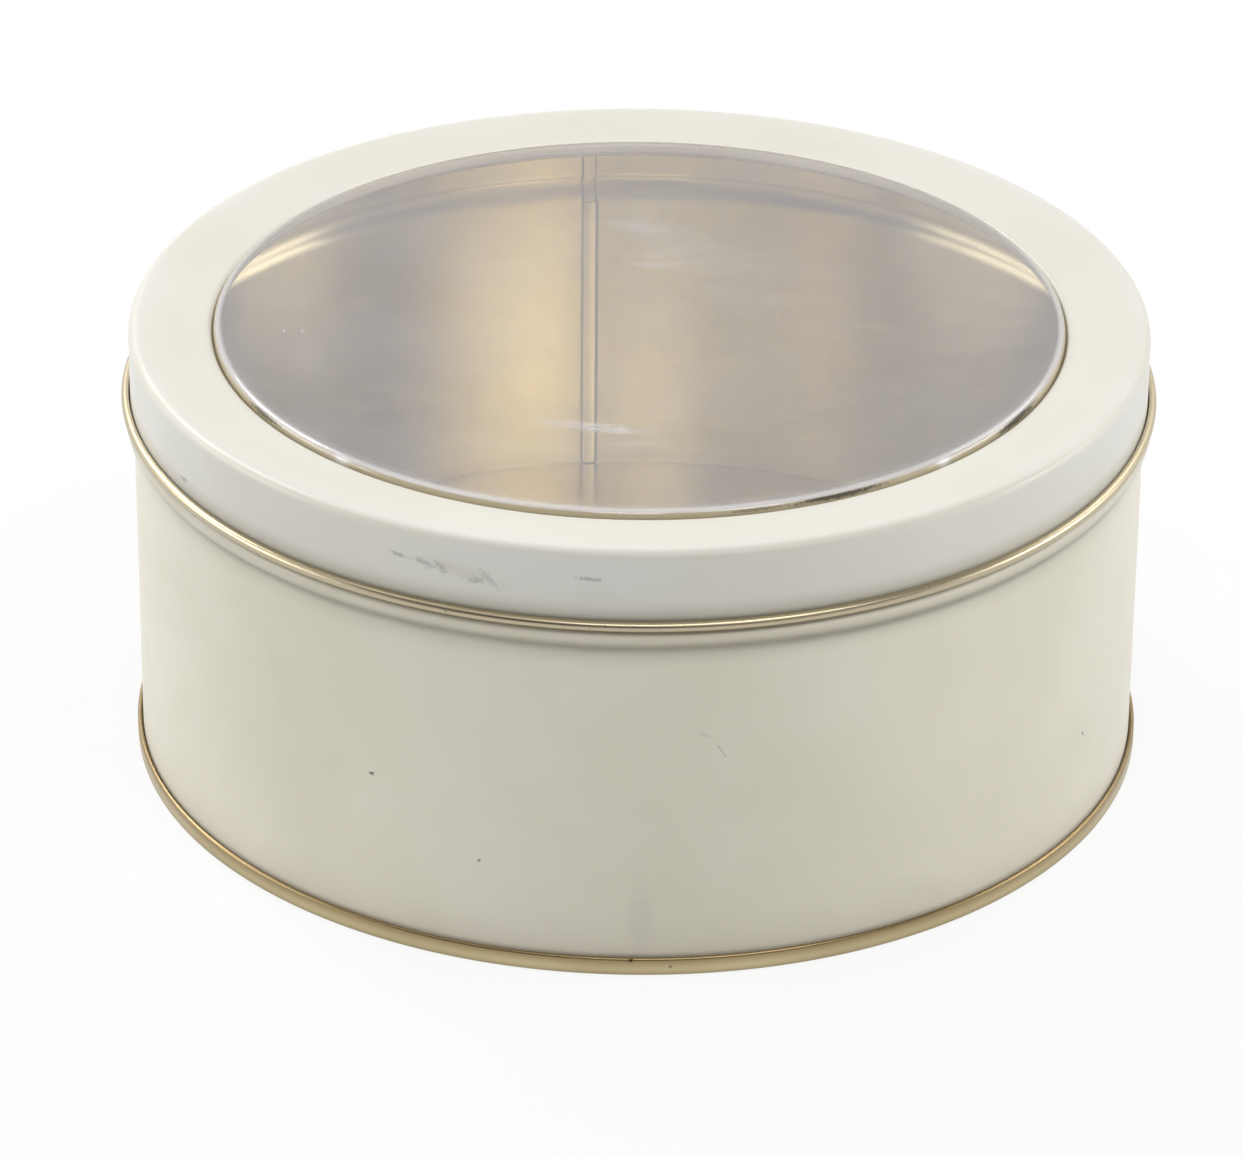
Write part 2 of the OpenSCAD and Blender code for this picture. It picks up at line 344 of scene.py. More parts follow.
def waved(tree, geometry, given, wave):
    """The geometry moved by the shared wave, with the wave's sizes passed on."""
    return add(tree, "GeometryNodeGroup", {"Geometry": geometry, **{name: given[name] for name in WAVE}},
               node_tree=wave)


FINISHES = {"Bare finish": ("Material", None), "Coat finish": ("Material", None)}


def finished(tree, geometry, given):
    """Shade smooth but for sharp edges, then give the bare and the coated faces their finish."""
    angle = add(tree, "GeometryNodeInputMeshEdgeAngle")
    crisp = add(tree, "ShaderNodeMath", [angle, SHARP_EDGE], operation="GREATER_THAN")
    smooth = add(tree, "GeometryNodeSetShadeSmooth",
                 {"Geometry": geometry, "Shade Smooth": True}, domain="FACE")
    edged = add(tree, "GeometryNodeSetShadeSmooth",
                {"Geometry": smooth, "Selection": crisp, "Shade Smooth": False}, domain="EDGE")
    real = add(tree, "GeometryNodeRealizeInstances", {"Geometry": edged})
    bare = add(tree, "GeometryNodeSetMaterial", {"Geometry": real, "Material": given["Bare finish"]})
    coat = add(tree, "GeometryNodeInputNamedAttribute", {"Name": "coat"}, data_type="FLOAT")
    whole = add(tree, "ShaderNodeMath", [coat, 0.75], operation="GREATER_THAN")
    coated = add(tree, "GeometryNodeSetMaterial",
                 {"Geometry": bare, "Selection": whole, "Material": given["Coat finish"]})
    add(tree, "NodeGroupOutput", [coated])


def turned_sheet_rule(wave):
    """Sweep a sheet's outline round a level circle, sink the line of its seam, and wave it."""
    tree, given = new_rule("turned_sheet", {
        "Rail": ("Object", None), "Groove depth": ("Float", 0.0), **WAVE, **FINISHES})
    outline = add(tree, "GeometryNodeMeshToCurve", [given["Geometry"]])
    circle = add(tree, "GeometryNodeObjectInfo", [given["Rail"]]).node.outputs["Geometry"]
    rail = add(tree, "GeometryNodeMeshToCurve", [circle])
    level = add(tree, "GeometryNodeSetCurveNormal", [rail], mode="Z_UP")
    swept = add(tree, "GeometryNodeCurveToMesh", {"Curve": level, "Profile Curve": outline})
    joined = add(tree, "GeometryNodeMergeByDistance", {"Geometry": swept, "Distance": MERGED * MM})
    line = add(tree, "GeometryNodeInputNamedAttribute", {"Name": "seam_line"}, data_type="FLOAT")
    side = add(tree, "GeometryNodeInputNamedAttribute", {"Name": "seam_side"}, data_type="FLOAT")
    both = add(tree, "ShaderNodeMath", [line, side], operation="MULTIPLY")
    depth = add(tree, "ShaderNodeMath", [both, given["Groove depth"]], operation="MULTIPLY")
    place = add(tree, "GeometryNodeInputPosition")
    inward = add(tree, "ShaderNodeVectorMath", [place, (-1, -1, 0)], operation="MULTIPLY")
    unit = add(tree, "ShaderNodeVectorMath", [inward], operation="NORMALIZE")
    sink = add(tree, "ShaderNodeVectorMath", [unit, depth], operation="SCALE")
    sunk = add(tree, "GeometryNodeSetPosition", {"Geometry": joined, "Offset": sink})
    finished(tree, waved(tree, sunk, given, wave), given)
    return tree


def folded_strip_rule(wave):
    """Wave a strip that is already folded to its shape."""
    tree, given = new_rule("folded_strip", {**WAVE, **FINISHES})
    finished(tree, waved(tree, given["Geometry"], given, wave), given)
    return tree


def new_object(name, points, edges=(), faces=(), **attributes):
    """A mesh object from points in millimetres, with one float attribute value for each point."""
    mesh = bpy.data.meshes.new(name)
    mesh.from_pydata([Vector(p) * MM for p in points], edges, faces)
    for title, values in attributes.items():
        mesh.attributes.new(title, "FLOAT", "POINT").data.foreach_set("value", values)
    made = bpy.data.objects.new(name, mesh)
    bpy.context.scene.collection.objects.link(made)
    return made


def grown(made, tree, values):
    """Run a tree on an object and keep the result as its plain mesh, with its faces outwards."""
    modifier = made.modifiers.new(tree.name, "NODES")
    modifier.node_group = tree
    for item in tree.interface.items_tree:
        if item.in_out == "INPUT" and item.name in values:
            modifier[item.identifier] = values[item.name]
    depsgraph = bpy.context.evaluated_depsgraph_get()
    mesh = bpy.data.meshes.new_from_object(
        made.evaluated_get(depsgraph), preserve_all_data_layers=True, depsgraph=depsgraph)
    made.modifiers.remove(modifier)
    made.data = mesh
    mesh.name = made.name
    shape = bmesh.new()
    shape.from_mesh(mesh)
    bmesh.ops.recalc_face_normals(shape, faces=shape.faces)
    shape.to_mesh(mesh)
    shape.free()
    return made


def new_rail(name, extra=()):
    """A level circle with even steps and extra points given as (degrees, seam_line)."""
    even = [(360 * k / ROUND_STEPS, 0.0) for k in range(ROUND_STEPS)]
    clear = [p for p in even if all(abs(p[0] - e[0]) > 0.1 for e in extra)]
    points = sorted(clear + list(extra))
    turns = [math.radians(degrees) for degrees, _ in points]
    places = [(RAIL_R * math.cos(turn), RAIL_R * math.sin(turn), 0) for turn in turns]
    edges = [(i, (i + 1) % len(places)) for i in range(len(places))]
    return new_object(name, places, edges, seam_line=[line for _, line in points])


def turned_sheet(name, outline, coated, rail, values):
    """A sheet turned about the tin's axis from its outline; one that starts on the axis closes there."""
    points = [(across - RAIL_R, -up, 0) for across, up, _ in outline]
    coat = [float(coated(*place)) for place in outline]
    seam = [float(not left and LOCK_FOOT_Z < up < LOCK_TOP_Z) for across, up, left in outline]
    edges = [(i, i + 1) for i in range(len(points) - 1)]
    if outline[0][0] > 1:
        edges.append((len(points) - 1, 0))
    profile = new_object(name, points, edges, coat=coat, seam_side=seam)
    return grown(profile, turned_sheet_tree, {"Rail": rail, **values})


def at_lock_seam(across, inward, up):
    """A place in the lock seam's plan, clockwise along the wall and inwards from its outside."""
    turn = math.radians(LOCK_ANGLE)
    radius = BODY_D / 2 - inward
    return (radius * math.cos(turn) + across * math.sin(turn),
            radius * math.sin(turn) - across * math.cos(turn), up)


def prism(layers):
    """Points and faces of a closed strip from layers of equally many points, with both ends capped."""
    count = len(layers[0])
    points = [p for layer in layers for p in layer]
    faces = [tuple(range(count))[::-1], tuple(range(len(points) - count, len(points)))]
    for k in range(len(layers) - 1):
        for i in range(count):
            j = (i + 1) % count
            faces.append((k * count + i, k * count + j, (k + 1) * count + j, (k + 1) * count + i))
    return points, faces


# Finishes

RUBBED_IN_DUST = "#a8a496"
BARE_TINPLATE = "#5c5a56"
SCRATCHED_LACQUER = "#3d3222"
PAINTED_GAP_SHADE = "#3a3322"
COATING_T = 0.05
PEEL_H = 0.004
UNEVEN_H = 0.02
ENAMEL_ROUGHNESS = (0.4, 0.52)
LACQUER_SPREAD = 0.015


def linear(code):
    """Linear RGBA of an sRGB hex colour."""
    parts = [int(code[i:i + 2], 16) / 255 for i in (1, 3, 5)]
    return (*(c / 12.92 if c <= 0.04045 else ((c + 0.055) / 1.055) ** 2.4 for c in parts), 1.0)


def new_finish(name, **values):
    """A material with one Principled shader, whose uniform values are set on its own sockets."""
    material = bpy.data.materials.new(name)
    material.use_nodes = True
    tree = material.node_tree
    tree.nodes.clear()
    shader = add(tree, "ShaderNodeBsdfPrincipled",
                 {socket.replace("_", " "): value for socket, value in values.items()})
    add(tree, "ShaderNodeOutputMaterial", {"Surface": shader})
    return material, tree, shader.node.inputs


def patches(tree, vector, size, low, high, to_low=0.0, to_high=1.0, detail=2.0, stretch=(1, 1, 1)):
    """Random patches about size millimetres wide, stretched along each axis: where the random level
    goes from low to high, the result goes from to_low to to_high."""
    scaled = add(tree, "ShaderNodeMapping",
                 {"Vector": vector, "Scale": tuple(1 / (size * MM * s) for s in stretch)})
    level = add(tree, "ShaderNodeTexNoise",
                {"Vector": scaled, "Scale": 1.0, "Detail": detail, "Roughness": 0.6})
    return add(tree, "ShaderNodeMapRange", [level, low, high, to_low, to_high],
               interpolation_type="SMOOTHSTEP")


def unrolled(tree, radius):
    """Places on a turned sheet: as they are, split, and on the round wall laid flat (metres along it
    from the right-hand side, height)."""
    place = add(tree, "ShaderNodeTexCoord").node.outputs["Object"]
    parts = add(tree, "ShaderNodeSeparateXYZ", [place]).node.outputs
    angle = add(tree, "ShaderNodeMath", [parts["Y"], parts["X"]], operation="ARCTAN2")
    along = add(tree, "ShaderNodeMath", [angle, radius * MM], operation="MULTIPLY")
    return place, parts, add(tree, "ShaderNodeCombineXYZ", [along, parts["Z"]])


def strokes(tree, flat, radius, drawn, grain, ragged):
    """Mask of small marks on the laid-flat wall, each drawn as ((degrees, height) from, the same to,
    width, strength), with edges made ragged by grains of that size."""
    grit = patches(tree, flat, grain, 0.0, 1.0, -ragged, ragged, detail=3.0)
    total = 0.0
    for start, end, width, strength in drawn:
        (x0, y0), (x1, y1) = [(math.radians(a) * radius * MM, z * MM) for a, z in (start, end)]
        size = (math.dist((x0, y0), (x1, y1)) / 2 + width * MM / 2, width * MM / 2, 1)
        local = add(tree, "ShaderNodeMapping", {
            "Vector": flat, "Location": ((x0 + x1) / 2, (y0 + y1) / 2, 0),
            "Rotation": (0, 0, math.atan2(y1 - y0, x1 - x0)), "Scale": size}, vector_type="TEXTURE")
        away = add(tree, "ShaderNodeVectorMath", [local], operation="LENGTH")
        torn = add(tree, "ShaderNodeMath", [away, grit], operation="ADD")
        here = add(tree, "ShaderNodeMapRange", [torn, 1.1, 0.3, 0.0, strength],
                   interpolation_type="SMOOTHSTEP")
        total = add(tree, "ShaderNodeMath", [total, here], operation="MAXIMUM")
    return total


def under_tone_and_light_bands(tree, base, height, tone_and_light_bands):
    """The base colour under bands that lie round the tin, of dust and tone or of painted shade, painted
    reflection and painted highlight, each as (colour, height, reach, strength).
    """
    for colour, level, reach, strength in tone_and_light_bands:
        away = add(tree, "ShaderNodeMath", [height, level * MM], operation="SUBTRACT")
        away = add(tree, "ShaderNodeMath", [away], operation="ABSOLUTE")
        share = add(tree, "ShaderNodeMapRange", [away, 0.0, reach * MM, strength, 0.0],
                    interpolation_type="SMOOTHSTEP")
        base = add(tree, "ShaderNodeMix", [share, base, linear(colour)], data_type="RGBA")
    return base


def enamel(name, colour, tint, radius, chips, smudges, tone_and_light_bands):
    """Lithographed enamel, a coating stoved on the flat sheet before it is formed: smooth with a fine
    orange peel and evenly coloured. Chips show the grey of the tinplate, smudges are rubbed-in dust, and
    bands round the tin carry dust, painted shade and painted reflection."""
    material, tree, shader = new_finish(name, IOR=1.5, Coat_Weight=0.15, Coat_Roughness=0.3)
    place, parts, flat = unrolled(tree, radius)
    cloud = patches(tree, place, 45, 0.3, 0.7)
    base = add(tree, "ShaderNodeMix", [cloud, linear(colour), linear(tint)], data_type="RGBA")
    streak = patches(tree, flat, 9, 0.3, 0.7, -0.15 * MM, 0.15 * MM, detail=3.0, stretch=(3, 1, 1))
    height = add(tree, "ShaderNodeMath", [parts["Z"], streak], operation="ADD")
    base = under_tone_and_light_bands(tree, base, height, tone_and_light_bands)
    rubbed_in = strokes(tree, flat, radius, smudges, 5.0, 0.5)
    base = add(tree, "ShaderNodeMix", [rubbed_in, base, linear(RUBBED_IN_DUST)], data_type="RGBA")
    chipped = strokes(tree, flat, radius, chips, 0.6, 1.0)
    base = add(tree, "ShaderNodeMix", [chipped, base, linear(BARE_TINPLATE)], data_type="RGBA")
    tree.links.new(base, shader["Base Color"])
    rough = patches(tree, place, 12, 0.3, 0.7, *ENAMEL_ROUGHNESS, detail=3.0)
    rough = add(tree, "ShaderNodeMath", [chipped, 0.25, rough], operation="MULTIPLY_ADD")
    tree.links.new(rough, shader["Roughness"])
    peel = add(tree, "ShaderNodeBump", {"Height": patches(tree, place, 1.4, 0.0, 1.0, detail=1.0),
                                        "Distance": PEEL_H * MM})
    pit = add(tree, "ShaderNodeBump",
              {"Height": chipped, "Distance": COATING_T * MM, "Normal": peel}, invert=True)
    tree.links.new(pit, shader["Normal"])
    return material


def lacquered_tinplate(name, colour, worn, roughness, anisotropic=0.0, specks=0.0, stains=(), tone_and_light_bands=()):
    """Tinplate under a thin gold food lacquer: rolled steel with a tin coating, so it mirrors softly.
    The rolls leave a grain round the wall, too fine to draw, that draws reflections out upwards. It is
    darker where the lacquer is scratched or stained, and bands round the tin carry its tone and painted
    shade."""
    material, tree, shader = new_finish(name, Metallic=1.0, Anisotropic=anisotropic)
    place, parts, flat = unrolled(tree, WALL_R)
    cloud = patches(tree, place, 34, 0.3, 0.7, 0.0, 0.35, detail=1.0)
    base = add(tree, "ShaderNodeMix", [cloud, linear(colour), linear(worn)], data_type="RGBA")
    base = under_tone_and_light_bands(tree, base, parts["Z"], tone_and_light_bands)
    pits = patches(tree, place, 1.3, 0.70, 0.78, 0.0, specks)
    crowded = patches(tree, place, 16, 0.45, 0.6)
    pits = add(tree, "ShaderNodeMath", [pits, crowded], operation="MULTIPLY")
    stained = strokes(tree, flat, WALL_R, stains, 0.6, 0.6)
    pits = add(tree, "ShaderNodeMath", [pits, stained], operation="MAXIMUM")
    base = add(tree, "ShaderNodeMix", [pits, base, linear(SCRATCHED_LACQUER)], data_type="RGBA")
    tree.links.new(base, shader["Base Color"])
    rough = patches(tree, place, 30, 0.3, 0.7, roughness - LACQUER_SPREAD, roughness + LACQUER_SPREAD,
                    detail=1.0)
    rough = add(tree, "ShaderNodeMath", [pits, 0.3, rough], operation="MULTIPLY_ADD")
    tree.links.new(rough, shader["Roughness"])
    if anisotropic:
        tree.links.new(add(tree, "ShaderNodeCombineXYZ", [0.0, 0.05, 1.0]), shader["Tangent"])
    uneven = patches(tree, place, 7, 0.0, 1.0)
    tree.links.new(add(tree, "ShaderNodeBump", {"Height": uneven, "Distance": UNEVEN_H * MM}),
                   shader["Normal"])
    return material


def clear_sheet(name, smudges_and_glints, gap_shade_strokes):
    """Thermoformed PET: clear and glossy, mirrors more at a low angle, and is faintly hazy from
    handling, with a few wiped smudges and two painted glints. It is milky where it was drawn thin, under
    a painted highlight that is whiter along its near side.
    Its upright side carries a painted reflection of the ring's gold edge, a painted highlight at the far
    side and near its foot, and painted shade in the gap."""
    material, tree, shader = new_finish(name, IOR=1.57, Roughness=0.08)
    place, parts, flat = unrolled(tree, WALL_R)
    wiped = patches(tree, place, 7, 0.5, 0.75, detail=4.0, stretch=(2.2, 0.8, 1))
    smudges = 0.0
    # smudges, and the two painted glints among them, whiten the pane
    for centre, size, turn, strength in smudges_and_glints:
        local = add(tree, "ShaderNodeMapping", {
            "Vector": place, "Location": (centre[0] * MM, centre[1] * MM, PANE_TOP_Z * MM),
            "Rotation": (0, 0, math.radians(turn)), "Scale": (size[0] * MM, size[1] * MM, 1)},
            vector_type="TEXTURE")
        away = add(tree, "ShaderNodeVectorMath", [local], operation="LENGTH")
        here = add(tree, "ShaderNodeMapRange", [away, 1.0, 0.2, 0.0, strength],
                   interpolation_type="SMOOTHSTEP")
        smudges = add(tree, "ShaderNodeMath", [smudges, here], operation="MAXIMUM")
    broken = add(tree, "ShaderNodeMapRange", [wiped, 0.0, 1.0, 0.35, 1.0])
    smear = add(tree, "ShaderNodeMath", [smudges, broken], operation="MULTIPLY")
    haze = patches(tree, place, 30, 0.3, 0.7, HAZE - 0.01, HAZE + 0.015, detail=3.0)
    haze = add(tree, "ShaderNodeMath", [haze, smear], operation="ADD")
    slant = add(tree, "ShaderNodeLayerWeight", [0.5]).node.outputs["Facing"]
    edge_on = add(tree, "ShaderNodeMath", [slant, 5.0], operation="POWER")
    haze = add(tree, "ShaderNodeMath", [edge_on, EDGE_ON_HAZE, haze], operation="MULTIPLY_ADD")
    # The thin drawn shoulder, faintly milky all round, under a painted highlight along the near side that
    # also whitens a band inside it
    level = add(tree, "ShaderNodeVectorMath", [place, (1, 1, 0)], operation="MULTIPLY")
    radius = add(tree, "ShaderNodeVectorMath", [level], operation="LENGTH")
    edge = (PANE_WALL_R + PANE_T / 2) * MM
    drawn = add(tree, "ShaderNodeMapRange", [radius, edge - DRAWN_FROM * MM, edge - DRAWN_TO * MM],
                interpolation_type="SMOOTHSTEP")
    # painted highlight: the shoulder whiter along the near side
    near_side_highlight = add(tree, "ShaderNodeMapRange", [parts["Y"], 25 * MM, 75 * MM, *NEAR_SIDE_HIGHLIGHT_HAZE])
    haze = add(tree, "ShaderNodeMath", [drawn, near_side_highlight, haze], operation="MULTIPLY_ADD")
    rise = add(tree, "ShaderNodeMapRange", [radius, edge - RISE_W * MM, edge])
    rise = add(tree, "ShaderNodeMath", [rise, 4.0], operation="POWER")
    # painted highlight on a band inside the shoulder, along the near side
    near_rise_highlight = add(tree, "ShaderNodeMapRange", [parts["Y"], -85 * MM, 0.0, RISE_HIGHLIGHT_HAZE, 0.0])
    haze = add(tree, "ShaderNodeMath", [rise, near_rise_highlight, haze], operation="MULTIPLY_ADD")
    colour = add(tree, "ShaderNodeMix", [wiped, linear("#e2e5ee"), linear("#f0f1f4")], data_type="RGBA")
    colour = add(tree, "ShaderNodeMix", [drawn, colour, linear("#efebea")], data_type="RGBA")
    # The upright side, but for the smudges that reach over it
    side = add(tree, "ShaderNodeMapRange", [radius, edge - SIDE_FROM * MM, edge - SIDE_TO * MM])
    side = add(tree, "ShaderNodeMath", [side, smudges], operation="SUBTRACT", use_clamp=True)
    # painted reflection of the ring's gold edge on the upright side, brightening to a painted highlight
    # at the far side
    far_highlight = add(tree, "ShaderNodeMapRange", [parts["Y"], 0.0, 75 * MM])
    side_reflection = add(tree, "ShaderNodeMix", [far_highlight, linear("#cdc2a4"), linear("#fff1cf")], data_type="RGBA")
    # a painted highlight in a band near the pane's foot
    side_reflection = under_tone_and_light_bands(tree, side_reflection, parts["Z"], [("#fff3d6", FLANGE_END_Z + 0.3, 0.7, 1.0)])
    # painted shade in the gap, as dark strokes on the upright side
    gap_shade_mask = strokes(tree, flat, WALL_R, gap_shade_strokes, 1.0, 0.5)
    side_reflection = add(tree, "ShaderNodeMix", [gap_shade_mask, side_reflection, linear(PAINTED_GAP_SHADE)], data_type="RGBA")
    haze = add(tree, "ShaderNodeMix", [side, haze, SIDE_REFLECTION_ALPHA])
    tree.links.new(haze, shader["Alpha"])
    colour = add(tree, "ShaderNodeMix", [side, colour, side_reflection], data_type="RGBA")
    tree.links.new(colour, shader["Base Color"])
    return material


# Marks on the walls, drawn as strokes() takes them
BODY_CHIPS = [
    ((-120.0, 36.9), (-119.7, 36.9), 0.9, 1.0),
    ((-107.2, 22.8), (-107.0, 22.7), 0.7, 0.8),
    ((-29.4, 25.4), (-29.2, 24.9), 0.8, 0.7),
    ((-81.4, 51.9), (-80.2, 48.2), 0.5, 0.3),
]
BODY_SMUDGES = [
    ((-83.4, 54.2), (-81.8, 52.9), 1.2, 0.25),
    ((-89.4, 21.4), (-89.2, 5.3), 7, 0.16),
    ((-60, 12), (-52, 7), 6, 0.08),
    ((-134, 60), (-131, 40), 8, 0.06),
]
SKIRT_SCUFFS = [
    ((-116.9, 87.9), (-115.2, 87.5), 1.1, 0.4),
    ((-114.2, 87.9), (-112.0, 86.6), 1.5, 0.35),
    ((-111.5, 87.7), (-110.8, 86.2), 1.8, 0.3),
    ((-107.8, 85.3), (-106.5, 85.5), 1.4, 0.3),
    ((-106.7, 87.8), (-105.0, 84.8), 1.5, 0.25),
    ((-96.2, 88.2), (-93.6, 88.1), 1.0, 0.42),
    ((-150.2, 82.3), (-148.8, 82.6), 1.0, 0.45),
]
SKIRT_SMUDGES = [
    ((-113.0, 88.2), (-104.0, 85.0), 3.5, 0.2),
    ((-100.0, 84.5), (-90.0, 84.0), 4, 0.05),
]
# Bands as (colour, height, reach, strength): on the body, a faint darkening towards the foot and painted
# shade in and under the bead; on the lid, a painted reflection of the gold curl with painted shade over
# the curl, and dust on the ring; on the gold, painted shade along both edges of the double seam, and the
# curl dulled
BODY_SHADE_BANDS = [
    ("#8f876d", 4, 10, 0.1),
    # painted shade in the crease under the bead, over its ridge and below it
    ("#635a42", BEAD_FOOT_Z + 0.4, 2.1, 0.55),
    ("#8a8162", RIDGE_Z - BEAD_LAND, 3, 0.16),
    ("#7d765f", BEAD_FOOT_Z, 5, 0.16),
]
LID_REFLECTION_AND_DUST_BANDS = [
    # painted reflection of the gold curl and painted shade on the skirt just over the curl
    ("#8c8055", CURL_Z + 0.8, 4.6, 0.34),
    ("#dcd3ba", TIN_H - RING_DIP / 2, 1.2, 0.3),
]
GOLD_SHADE_AND_TONE_BANDS = [
    # painted shade along the top and bottom edges of the double seam
    ("#8a7450", SEAM_H, 2.4, 0.8),
    ("#857a5c", 0, 1.4, 0.75),
    ("#bdb39b", CURL_Z, 2.5, 0.8),
]
SEAM_STAINS = [
    ((-90.4, 3.5), (-90.2, 3.5), 0.9, 0.9),
    ((-86.1, 2.1), (-85.9, 2.1), 0.6, 0.7),
]

# The pane: how hazy each of its surfaces is, and bands in mm in from its edge
HAZE = 0.155
EDGE_ON_HAZE = 0.6
DRAWN_FROM, DRAWN_TO = 2.0, 0.7
# the near side's painted highlight, on the shoulder and then on the band inside it
NEAR_SIDE_HIGHLIGHT_HAZE = (0.34, 0.03)
RISE_W = 7
RISE_HIGHLIGHT_HAZE = 0.32
SIDE_FROM, SIDE_TO = 0.5, 0.25
SIDE_REFLECTION_ALPHA = 0.8
# Painted shade in the gap between the pane's edge and the ring, drawn as strokes() takes it
GAP_SHADE_STROKES = [
    ((-36.4, 93.0), (-24.3, 93.0), 2.0, 1.0),
    ((-71.5, 93.0), (-55.0, 93.0), 1.4, 0.9),
    ((-79.0, 93.0), (-70.0, 93.0), 0.8, 0.5),
    ((-153.4, 93.0), (-143.9, 93.0), 1.3, 0.8),
]
# Smudges on the pane as (centre, half size, turn in degrees, strength): wiped streaks, faint wide
# ones, then bright specks and two painted glints of the side lamps on the near edge
PANE_SMUDGES_AND_GLINTS = [
    ((-9.6, -50.4), (16, 2.6), -12, 0.26),
    ((-2, -58), (7, 1.6), 0, 0.12),
    ((0.5, 42), (10, 4), -20, 0.2),
    ((2, 24), (9, 2), -8, 0.18),
    ((8, 34), (22, 12), -48, 0.07),
    ((22, 8), (14, 10), -20, 0.06),
    ((2, 60), (18, 5), -10, 0.05),
    ((40, -38), (12, 1.2), 35, 0.06),
    ((-72.3, -8.6), (0.5, 0.5), 0, 0.8),
    ((-68.6, -9.0), (0.7, 0.5), 0, 0.8),
    # painted glints of the side lamps on the pane's near edge
    ((-57.9, -64.6), (3.4, 0.7), -42, 0.9),
    ((59.8, -62.9), (3.0, 0.7), 43, 0.9),
]

ivory_enamel = enamel(
    "stoved_ivory_enamel", "#e6e1d1", "#e0dbca", BODY_D / 2, BODY_CHIPS, BODY_SMUDGES, BODY_SHADE_BANDS)
white_enamel = enamel(
    "stoved_white_enamel", "#e0dfd8", "#dddbd2", BODY_D / 2, SKIRT_SCUFFS, SKIRT_SMUDGES, LID_REFLECTION_AND_DUST_BANDS)
gold_lacquer = lacquered_tinplate(
    "gold_lacquered_tinplate", "#c0b18c", "#9f916e", 0.35,
    specks=0.8, stains=SEAM_STAINS, tone_and_light_bands=GOLD_SHADE_AND_TONE_BANDS)
inner_lacquer = lacquered_tinplate(
    "gold_lacquered_tinplate_wall", "#f4e4b6", "#e8d7a6", 0.36, anisotropic=0.95)
floor_lacquer = lacquered_tinplate("gold_lacquered_tinplate_floor", "#ddcc9c", "#d0bf90", 0.2)
pane_plastic = clear_sheet("thermoformed_clear_pet", PANE_SMUDGES_AND_GLINTS, GAP_SHADE_STROKES)

# Steps across the lock seam's groove, in thicknesses of plate from its deepest line
GROOVE_REACH = 1.5
GROOVE_STEPS = (-1.5, -0.5, 0, 0.5, 1.5)
# The lap's layers along its width, as (half widths from its middle, share of its thickness)
LAP_LAYERS = ((-1, 0.35), (-0.75, 1), (0, 1), (0.75, 1), (1, 0.35))

# Sheets of the tin and of its lid
wave_tree = wave_rule()
turned_sheet_tree = turned_sheet_rule(wave_tree)
folded_strip_tree = folded_strip_rule(wave_tree)

per_mm = math.degrees(1 / (BODY_D / 2))
groove = LOCK_ANGLE - (LOCK_W / 2 + LOCK_GAP / 2) * per_mm
plain_rail = new_rail("plain_rail")
seamed_rail = new_rail("seamed_rail", [
    (groove + step * per_mm * PLATE_T, 1 - abs(step) / GROOVE_REACH) for step in GROOVE_STEPS])

wall = turned_sheet(
    "body_wall_sheet", section(WALL_CORNERS, PLATE_T),
    lambda across, up, left: not left and across > WALL_R - 0.1 and up > BODY_FOLD_Z + 0.3,
    seamed_rail,
    {"Groove depth": GROOVE_DEPTH * MM, "Bare finish": inner_lacquer, "Coat finish": ivory_enamel})
end = turned_sheet(
    "bottom_end_sheet", section(END_CORNERS, END_T), lambda across, up, left: left,
    plain_rail, {"Bare finish": gold_lacquer, "Coat finish": floor_lacquer})
lid = turned_sheet(
    "lid_frame_sheet", section(LID_CORNERS, PLATE_T),
    lambda across, up, left: not left and not (
        up < CURL_Z + CURL_BEND + PLATE_T and across > SKIRT_R + PLATE_T),
    plain_rail, {"Bare finish": gold_lacquer, "Coat finish": white_enamel})
pane = turned_sheet(
    "window_pane_sheet", section(PANE_CORNERS, PANE_T), lambda across, up, left: True,
    plain_rail, {"Bare finish": pane_plastic, "Coat finish": pane_plastic})
retainer = turned_sheet(
    "retaining_ring_sheet", section(RETAINER_CORNERS, RETAINER_T), lambda across, up, left: False,
    plain_rail, {"Bare finish": gold_lacquer, "Coat finish": gold_lacquer})

# The lock seam inside the wall, and the lap that carries it on through the bead and the neck
plan = rounded(LOCK_CORNERS)
levels = [LOCK_FOOT_Z + (LOCK_TOP_Z - LOCK_FOOT_Z) * k / LOCK_STEPS for k in range(LOCK_STEPS + 1)]
points, faces = prism([[at_lock_seam(x, y, z) for x, y in plan] for z in levels])
layers = []
for across, thickness in LAP_LAYERS:
    turn = math.radians(LOCK_ANGLE) + LOCK_TURN / 2 * across
    lap = section(LAP_CORNERS, thickness * LAP_T, (PLATE_T + thickness * LAP_T) / 2 - BITE)
    layers.append([(r * math.cos(turn), r * math.sin(turn), z) for r, z, _ in lap])
lap_points, lap_faces = prism(layers)
faces += [tuple(i + len(points) for i in face) for face in lap_faces]
points += lap_points
lock = grown(new_object("body_wall_lock_seam", points, faces=faces), folded_strip_tree,
             {"Bare finish": inner_lacquer, "Coat finish": inner_lacquer})
for guide in (plain_rail, seamed_rail):
    bpy.data.objects.remove(guide)

for piece, body, slot, node in (
        (wall, "tin", "ivory_enamel", "body_wall"),
        (lock, "tin", "gold_tinplate", None),
        (end, "tin", "gold_tinplate", "bottom_end"),
        (lid, "lid", "white_enamel", "lid_frame"),
        (pane, "lid", "clear_plastic", "window_pane"),
        (retainer, "lid", "gold_tinplate", "retaining_ring")):
    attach(piece, body)
    if node:
        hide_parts(node)


# The camera fitted to the photograph, which looks down at 27.9 degrees; its place is in metres
LENS = 185.15
SENSOR = 36
CAMERA_AT = Vector((0, -1.17686, 0.66427))
RIGHT = Vector((0.99995263, 0.00666846, 0.00709074))
UP = Vector((-0.00940157, 0.47297055, 0.88102808))
ROOM_LIGHT = 0.15

